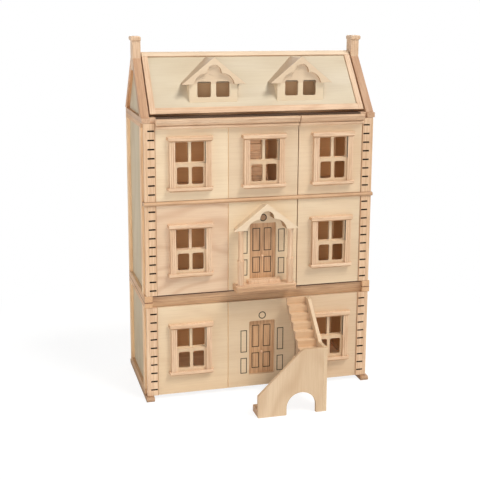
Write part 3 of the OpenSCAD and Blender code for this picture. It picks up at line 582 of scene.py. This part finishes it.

# %% [markdown]
# ## The roof
# The rear slope is a plain sheet. The front slope is a flap: a beech frame
# round a paler sheet. The sheet's veneer runs from side to side, and so does
# the frame's strip along the ridge, which is paler: a painted highlight. The
# dormers are cut from a very even pale wood. Their own roofs are shaded, and
# so are the cut edges of the pediments, which would be a little browner
# anyway, because they show end grain.

# %% Roof
FLAP_SIDE, RIDGE_STRIP, RIDGE_HIGHLIGHT = 14.5 * MM, 10 * MM, tone(234, 214, 186)
(flap_x0, flap_x1) = spread("roof_front_frame")[0]
ridge_z = spread("roof_front_frame")[2][1]
DORMER_GABLE, EAVE_OVERLAP = 67 * MM, 0.5 * MM
dormer_eave = spread("dormer_left")[2][1] - DORMER_GABLE
DORMER_BODY = Look((232, 216, 188), (226, 207, 177), (204, 176, 144), 0.06, 0.1, 0.06, 5)
CUT_SHADE, SLOPE_SHADE = (0.6, 0.46, 0.35, 1), (0.68, 0.62, 0.58, 1)
DORMER = Look((226, 205, 177), (219, 196, 167), (198, 166, 134), 0.06, 0.1, 0.06, 5)


def roof_sheet(x, y, z, nx, ny, nz):
    return wood(x, y * COS + z * SIN, z * COS - y * SIN, ROOF_PLY)


def rear_sheet(x, y, z, *facing):
    return wood(x, z * SIN - y * COS, z * COS + y * SIN, ROOF_PLY)


# The inner face of the rear roof gets this share of the brown painted room shade.
ATTIC_SHARE = 0.35


def attic_side(*values):
    return looks_forward(*values) * ATTIC_SHARE


def flap_frame(x, y, z, *facing):
    side = 1 - band(x, flap_x0 + FLAP_SIDE, flap_x1 - FLAP_SIDE)
    colour, height = wood(*other_board(side, run_x(x, y, z), run_up_slope(x, y, z)), BEECH)
    # Along the ridge the frame is mixed toward a pale painted highlight.
    return mix((z > ridge_z - RIDGE_STRIP) * 0.6, colour, RIDGE_HIGHLIGHT), height


def sawn(ny, nz):
    """1 on the edges of a board that faces forward, where they look down or aside."""
    return (abs(ny) < 0.5) * (nz < 0.3)


def dormer(x, y, z, nx, ny, nz):
    colour, height = wood(*run_x(x, y, z), DORMER)
    colour = mix(z < dormer_eave, colour, wood(*run_x(x, y, z), DORMER_BODY)[0])
    colour = tinted((abs(nx) > 0.3) * (nz > 0.3), colour, SLOPE_SHADE)
    cut = sawn(ny, nz) * (z > dormer_eave - EAVE_OVERLAP)
    return tinted(cut, colour, CUT_SHADE), height


dress(finish("roof sheet", roof_sheet), "roof_front_panel")
dress(finish("rear roof sheet", shade_inside(rear_sheet, attic_side)), "roof_back")
dress(finish("flap frame", flap_frame), "roof_front_frame")
dress(finish("dormers", dormer), "dormer_left", "dormer_right")

# %% [markdown]
# ## Corner posts
# Each post has a row of saw cuts that stand for the joints between quoins.
# Their insides are scorched almost black. The scorch starts just behind the
# post's face, between the ends of the cuts. The edge beside the door sheet
# is shaded. Scorched wood hardly shines, so the highlight is weak, and since
# that is one value for the whole material it is weak all over the post.

# %% Posts
CHAR = tone(26, 11, 6)
SLOT_IN, SLOT_OUT = 273.3 * MM, 290.7 * MM
SLOT_DEPTH, SLOTS_END = 5 * MM, 6 * MM
POST_FACE = front + 0.1 * MM
POST_EDGE = abs(spread("post_top_left")[0][1]) + 1.6 * MM
EDGE_SHADE, WEAK_HIGHLIGHT = (0.62, 0.5, 0.42, 1), 0.1
STOREYS = ("top", "middle", "ground")


def post(x, y, z, *facing):
    colour, height = wood(*run_z(x, y, z), BEECH)
    cut = band(y, POST_FACE, POST_FACE + SLOT_DEPTH) * band(abs(x), SLOT_IN, SLOT_OUT)
    for storey in STOREYS:
        z0, z1 = spread(f"post_{storey}_left")[2]
        for end in (z0, z1):
            cut = cut * (abs(z - end) > SLOTS_END)
    colour = tinted(abs(x) < POST_EDGE, colour, EDGE_SHADE)
    return mix(cut, colour, CHAR), height


posts = finish("corner posts", post)
post_shader = posts.node_tree.nodes["Principled BSDF"]
post_shader.inputs["Specular IOR Level"].default_value = WEAK_HIGHLIGHT
dress(posts, *(f"post_{storey}_{side}" for storey in STOREYS for side in SIDES))

# %% [markdown]
# ## The big front doors
# They are plywood sheets. A storey has three bays, and each bay shows another
# veneer: some creamy, some pinker, the left one of the middle storey with
# clear pointed figure. The bays of the ground storey are darker, the right one
# most, and that is partly painted shade. The groove between two bays has a
# tan painted shade.

# %% Bays of the front doors
FACE = spread("panel_top_left")[1][0]
SEAM_IN, HALF_VALLEY = 5.5 * MM, 2.4 * MM
VALLEY_FROM, VALLEY_TO = 0.15 * MM, 3 * MM
seam_x = spread("partitions")[0][0] + SEAM_IN
split_x = (spread("cornice_left")[0][1] + spread("cornice_right")[0][0]) / 2
FIGURED = Look((222, 195, 166), (216, 187, 157), (197, 159, 129), 0.55, 0.16, 0.15, 11)
# The tan in the groove between two bays is painted shade.
VALLEY_SHADE = tone(212, 172, 126)
# The darker tints of the ground row are partly painted shade, deepest in its right bay.
BAY_TONES_AND_SHADE = {
    "top": (PLY, (1, 1, 1), (0.9, 0.87, 0.86), (0.95, 0.91, 0.89)),
    "middle": (FIGURED, (1, 1, 1), (0.96, 0.96, 0.95), (0.94, 0.93, 0.93)),
    "ground": (PLY, (0.94, 0.92, 0.9), (0.9, 0.88, 0.87), (0.88, 0.83, 0.81)),
}


def bays(storey, *values):
    """Colour and height of a storey's plywood, bay by bay."""
    x, y, z = values[:3]
    look, left, middle, last = BAY_TONES_AND_SHADE[storey]
    colour, height = PLY_FACING_Y(*values)
    first = x < seam_x
    if look is not PLY:
        colour = mix(first, colour, wood(*run_x(x, y, z), look)[0])
    masks = (first, band(x, seam_x, split_x), x > split_x)
    for mask, tint in zip(masks, (left, middle, last)):
        colour = tinted(mask, colour, tint + (1,))
    valley = (abs(x - seam_x) < HALF_VALLEY) * band(y, FACE + VALLEY_FROM, FACE + VALLEY_TO)
    return mix(valley * 0.7, colour, VALLEY_SHADE), height


# %% [markdown]
# Beside each entrance two sidelights are engraved, and over it a ring:
# shallow grooves that are burnt to a dark olive. A groove lies behind the
# sheet's face, so the burn is wherever the surface is deeper than the face
# within the zone of the sidelights. The disc inside the upper ring is brown.

# %% Burnt grooves
BURN, BURN_FROM, BURN_TO = tone(50, 47, 36), 0.2 * MM, 1.2 * MM
DISC = tone(150, 108, 72)
(leaf_x0, leaf_x1) = spread("ground_door")[0]
entry_x = (spread("porch")[0][0] + spread("porch")[0][1]) / 2
HALF_ENTRY, ZONE_OUT = 37.5 * MM, 72 * MM
RING_UP, RING_OUT, RING_IN = 6.5 * MM, 11.4 * MM, 8.4 * MM


def front_door(storey):
    def recipe(x, y, z, *facing):
        colour, height = bays(storey, x, y, z, *facing)
        leaf = {"middle": "porch_door", "ground": "ground_door"}.get(storey)
        if leaf is None:
            return colour, height
        z0, z1 = spread(leaf)[2]
        groove = band(y, FACE + BURN_FROM, FACE + BURN_TO)
        beside = band(abs(x - entry_x), HALF_ENTRY, ZONE_OUT) * band(z, z0, z1)
        off = vector(x - entry_x, y * 0, z - (z1 + RING_UP))
        off = off.node("ShaderNodeVectorMath", {"operation": "LENGTH"}, {0: off}, 1)
        if storey == "middle":
            colour = mix((off < RING_IN) * 0.8, colour, DISC)
        return mix(groove * (beside + (off < RING_OUT)), colour, BURN), height

    return recipe


for storey in STOREYS:
    dress(
        finish(f"{storey} front doors", front_door(storey)),
        *(f"panel_{storey}_{side}" for side in SIDES),
    )

# %% [markdown]
# ## Window trims and sashes
# Sill and lintel run level, the jambs between them stand. Undersides and
# sides of a trim are shaded, and the groove that the sash slides in gets a
# dark painted shade inside above the sash. A sash is a small frame of pale
# wood, cut from one sheet with its grain standing.

# %% Trims
SILL, LINTEL = 10 * MM, 12 * MM
# The dark colour in the sash grooves is painted shade.
GROOVE_SHADE, GROOVE_BESIDE, GROOVE_DEEP = tone(45, 42, 38), 2 * MM, 6 * MM
UNDER_SHADE, SIDE_SHADE = (0.72, 0.62, 0.54, 1), (0.86, 0.8, 0.75, 1)
sash_front = spread("sash_top_left")[1][0]


def trim(x, y, z, nx, ny, nz):
    level = upper = 0
    for storey in STOREYS:
        z0, z1 = spread(f"trim_{storey}_left")[2]
        level = band(z, z0, z0 + SILL) + band(z, z1 - LINTEL, z1) + level
        upper = band(z, spread(f"sash_{storey}_left")[2][1], z1 - LINTEL) + upper
    colour, height = wood(*other_board(level, run_z(x, y, z), run_x(x, y, z)), BEECH)
    beside = 0
    for spot in ("left", "middle", "right"):
        x0, x1 = spread(f"sash_top_{spot}")[0]
        inward = nx * (x - (x0 + x1) / 2) < 0
        beside = band(x, x0 - GROOVE_BESIDE, x1 + GROOVE_BESIDE) * inward + beside
    colour = tinted(nz < -0.3, colour, UNDER_SHADE)
    colour = tinted(abs(nx) > 0.5, colour, SIDE_SHADE)
    inner = (y > sash_front - GROOVE_DEEP) * (abs(nx) > 0.5)
    return mix(inner * beside * upper, colour, GROOVE_SHADE), height


SASH_WOOD = Look((215, 188, 156), (208, 179, 146), (186, 150, 116), 0.08, 0.12, 0.1, 6)
dress(
    finish("window trims", trim),
    *(f"trim_{storey}_{side}" for storey in STOREYS for side in SIDES),
)
dress(
    finish("sashes", plain(run_z, SASH_WOOD)),
    *(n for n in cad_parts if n.startswith("sash_")),
)

# %% [markdown]
# ## The porch
# Two turned columns stand on a slab and carry a cut pediment. The columns'
# grain stands, the slab and the pediment run level. The pediment is as pale
# as those of the dormers, with the same shade on its cut edges.

# %% Porch
(porch_z0, porch_z1) = spread("porch")[2]
SLAB, PEDIMENT = 16 * MM, 67 * MM


def porch(x, y, z, nx, ny, nz):
    high = z > porch_z1 - PEDIMENT
    stands = band(z, porch_z0 + SLAB, porch_z1 - PEDIMENT)
    colour, height = wood(*other_board(stands, run_x(x, y, z), run_z(x, y, z)), BEECH)
    colour = mix(high, colour, wood(*run_x(x, y, z), DORMER)[0])
    colour = tinted(high * sawn(ny, nz), colour, CUT_SHADE)
    return mix(z < porch_z0 + SLAB, colour, wood(*run_x(x, y, z), RED_BEECH)[0]), height


dress(finish("porch", porch), "porch")

# %% [markdown]
# ## The entrance doors
# They are browner, with a straight standing grain, and four panels engraved
# into each. The grooves lie behind the leaf's face, as on the big doors. The
# knob stands in front of it and is paler.

# %% Entrance doors
LEAF_THICK, LEAF_MARGIN = 4 * MM, 9 * MM
LEAF_FACE = spread("ground_door")[1][1] - LEAF_THICK
LEAF_BURN, LEAF_BURN_FROM, LEAF_BURN_TO = tone(70, 56, 38), 0.1 * MM, 1.0 * MM
KNOB, KNOB_CLEAR = tone(224, 184, 150), 0.3 * MM


def entrance(x, y, z, *facing):
    colour, height = wood(*run_z(x, y, z), DOOR_WOOD)
    inside = band(x, leaf_x0 + LEAF_MARGIN, leaf_x1 - LEAF_MARGIN)
    groove = inside * band(y, LEAF_FACE + LEAF_BURN_FROM, LEAF_FACE + LEAF_BURN_TO)
    colour = mix(groove, colour, LEAF_BURN)
    return mix(y < LEAF_FACE - KNOB_CLEAR, colour, KNOB), height


dress(finish("entrance doors", entrance), "porch_door", "ground_door")

# %% [markdown]
# ## The stair
# Two plywood cheeks with arches hold a folded flight. The cheeks' veneer
# stands, with a wide pointed figure. The right cheek faces sideways, so its
# stripes show on the edge that looks forward. The steps are a pinker beech.
# Their ends, which show end grain, carry a greyish painted shade, and the
# risers are shaded.

# %% Stair
CHEEK = Look((215, 191, 161), (206, 179, 147), (180, 145, 111), 0.36, 0.18, 0.12, 8)
STEP_WOOD = Look((219, 189, 155), (209, 175, 140), (182, 143, 107), 0.1, 0.16, 0.3, 6)
CHEEK_THICK = 9 * MM
right_cheek = spread("stair_cheeks")[0][1] - CHEEK_THICK


def cheek(x, y, z, nx, ny, nz):
    colour, height = wood(*run_z(x, y, z), CHEEK)
    side = x > right_cheek
    through = y + side * (x - y)
    turned = abs(ny) + side * (abs(nx) - abs(ny))
    edge = (turned < 0.5) * (layers(through) * 0.5 + 0.1)
    colour = mix(side, colour, wood(*run_z(x, y, z), PLY)[0])
    return mix(edge, colour, CHEEK.dark), height


dress(finish("stair cheeks", cheek), "stair_cheeks")
# The tint on the ends of the steps is painted shade.
RISER_SHADE, STEP_END_SHADE = (0.93, 0.88, 0.84, 1), (0.7, 0.66, 0.68, 1)


def stair_step(x, y, z, nx, ny, nz):
    colour, height = wood(*run_x(x, y, z), STEP_WOOD)
    colour = tinted(ny < -0.5, colour, RISER_SHADE)
    return tinted(abs(nx) > 0.5, colour, STEP_END_SHADE), height


dress(finish("stair steps", stair_step), "stair_steps")

# %% [markdown]
# ## The pins
# The doors and the roof turn on short steel pins. Drawn wire has fine lines
# round it, so the noise is stretched across the pin.

# %% Pins
STEEL = Look((176, 176, 178), (150, 150, 153), (96, 96, 100), 0.2, 0.5, 0.2, 10)
pins = finish("pins", plain(run_x, STEEL))
pins.node_tree.nodes["Principled BSDF"].inputs["Metallic"].default_value = 1.0
dress(pins, "hinge_pins")

# %% [markdown]
# ## World and lamps
# The studio is a white sweep. The world is a soft fill from all sides. A
# round softbox stands at the camera, so that its light goes into the rooms.
# A lamp high on the right gives the shadows, which fall to the left and down.
# Another low on the left keeps that side open, and a third keeps the back and
# the right side from going dark. Together they light the front so that a
# colour shows about as it is written. Seen by the camera the world is plain
# white. A sun's angle says how soft its shadows are.

# %% Light the studio
scene = bpy.context.scene
scene.view_settings.view_transform = "Standard"
world = bpy.data.worlds.new("studio")
scene.world = world
world.use_nodes = True
air = Sig(world.node_tree)
rays = {
    name: Sig(world.node_tree, socket)
    for name, socket in air.node("ShaderNodeLightPath").socket.node.outputs.items()
}
FILL = (0.13, 0.135, 0.14, 1)
seen = rays["Is Camera Ray"].math(
    "MAXIMUM", rays["Is Camera Ray"], rays["Is Transmission Ray"]
)
seen = seen.math("MAXIMUM", seen, rays["Is Glossy Ray"])
sky = mix(seen, FILL, (1, 1, 1, 1))
background = world.node_tree.nodes["Background"]
world.node_tree.links.new(sky.socket, background.inputs["Color"])


def lamp(name, kind, toward, energy, colour, place=(0, 0, 0), **settings):
    """A lamp whose light comes from the direction toward."""
    light = bpy.data.lights.new(name, kind)
    light.energy, light.color = energy, colour
    for key, value in settings.items():
        setattr(light, key, value)
    holder = bpy.data.objects.new(name, light)
    holder.location = place
    holder.rotation_euler = Vector(toward).to_track_quat("Z", "Y").to_euler()
    scene.collection.objects.link(holder)
    holder.visible_camera = False


WARM, NEUTRAL = (1.0, 0.96, 0.9), (1.0, 0.99, 0.97)
middle = Vector((0, 0, 0.45))
lamp("softbox", "AREA", eye - middle, 15.0, NEUTRAL, eye, shape="DISK", size=0.5)
lamp("high right", "SUN", (0.4, -0.45, 0.8), 2.3, WARM, angle=math.radians(25))
lamp("low left", "SUN", (-0.93, -0.2, 0.3), 1.0, NEUTRAL, angle=math.radians(50))
lamp("behind", "SUN", (0.35, 0.88, 0.3), 1.1, NEUTRAL, angle=math.radians(50))

# %% [markdown]
# Small windows let in little light, so by themselves the rooms come out dark
# brown. Each room has a weak warm lamp high up behind the front, and the
# attic has two. They shine on the back wall and are themselves unseen. They
# are helpers of this studio and no part of the house.

# %% Room lamps
ROOM_LIGHT = (1.0, 0.86, 0.7)
ROOM_POWER, ROOM_SIZE, BEHIND_DOOR, BELOW_CEILING = 0.068, 0.06, 30 * MM, 15 * MM
ATTIC_POWER, ATTIC_SIZE, ATTIC_X = 0.047, 0.12, (-0.095, 0.135)
BEFORE_BACK, ABOVE_FLOOR, AIM_DOWN = 130 * MM, 75 * MM, 300 * MM
back_y = spread("upper_back")[1][0]
front_y = spread("panel_top_left")[1][1] + BEHIND_DOOR
ceilings = [spread(f"panel_{storey}_left")[2][1] - BELOW_CEILING for storey in STOREYS]
bay_edges = [spread(f"sash_top_{spot}")[0] for spot in ("left", "middle", "right")]
room_lamps = [
    ((x0 + x1) / 2, front_y, top, ROOM_POWER, ROOM_SIZE)
    for x0, x1 in bay_edges
    for top in ceilings
]
attic_y, attic_z = back_y - BEFORE_BACK, spread("attic_floor")[2][1] + ABOVE_FLOOR
room_lamps += [(x, attic_y, attic_z, ATTIC_POWER, ATTIC_SIZE) for x in ATTIC_X]
for x, y, z, energy, size in room_lamps:
    toward = (0, y - back_y, AIM_DOWN)
    lamp("room lamp", "AREA", toward, energy, ROOM_LIGHT, (x, y, z), shape="DISK", size=size)
print(len(room_lamps), "room lamps")

# %% [markdown]
# ## The floor
# A large pale disc. What the camera sees of it is mostly its own glow, so
# the shadow on it is a faint one, and further out it is plain white like the
# world.

# %% Floor
FLOOR_RADIUS, FADE_FROM, FADE_TO = 12, 0.55, 1.1
sweep = bmesh.new()
bmesh.ops.create_circle(sweep, cap_ends=True, radius=FLOOR_RADIUS, segments=96)
ground = bpy.data.meshes.new("floor")
sweep.to_mesh(ground)
sweep.free()
floor = bpy.data.objects.new("floor", ground)
scene.collection.objects.link(floor)
floor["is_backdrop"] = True
paper = bpy.data.materials.new("paper")
paper.use_nodes = True
tree = paper.node_tree
sig = Sig(tree)
shader = tree.nodes["Principled BSDF"]
shader.inputs["Base Color"].default_value = (0.86, 0.86, 0.86, 1)
shader.inputs["Roughness"].default_value = 0.9
ray = sig.node("ShaderNodeLightPath")
glow = sig.node("ShaderNodeEmission", None, {"Color": (1, 1, 1, 1), "Strength": 0.85})
faint = sig.node("ShaderNodeBsdfDiffuse", None, {"Color": (0.24, 0.24, 0.24, 1)})
lit = sig.node("ShaderNodeAddShader", None, {0: faint, 1: glow})
shown = sig.node(
    "ShaderNodeMixShader", None, {0: ray, 1: Sig(tree, shader.outputs[0]), 2: lit}
)
radius = sig.node("ShaderNodeTexCoord", None, None, 3)
radius = sig.node("ShaderNodeVectorMath", {"operation": "LENGTH"}, {0: radius}, 1)
white = sig.node("ShaderNodeEmission", None, {"Color": (1, 1, 1, 1), "Strength": 1.0})
far = step(radius, FADE_FROM, FADE_TO) * ray
both = sig.node("ShaderNodeMixShader", None, {0: far, 1: shown, 2: white})
tree.links.new(both.socket, tree.nodes["Material Output"].inputs["Surface"])
floor.data.materials.append(paper)
print("the floor is", 2 * FLOOR_RADIUS, "m wide")

# %% [markdown]
# ## Sizes
# The dressed model has to fill the same box as the exact one. Both boxes are
# written down, so that they can be compared.

# %% Write the sizes and finish
seen_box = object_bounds()
for name, box in (("exact", cad_box), ("dressed", seen_box)):
    print(name, [round((b - a) * 1000, 1) for a, b in zip(*box)], "mm")
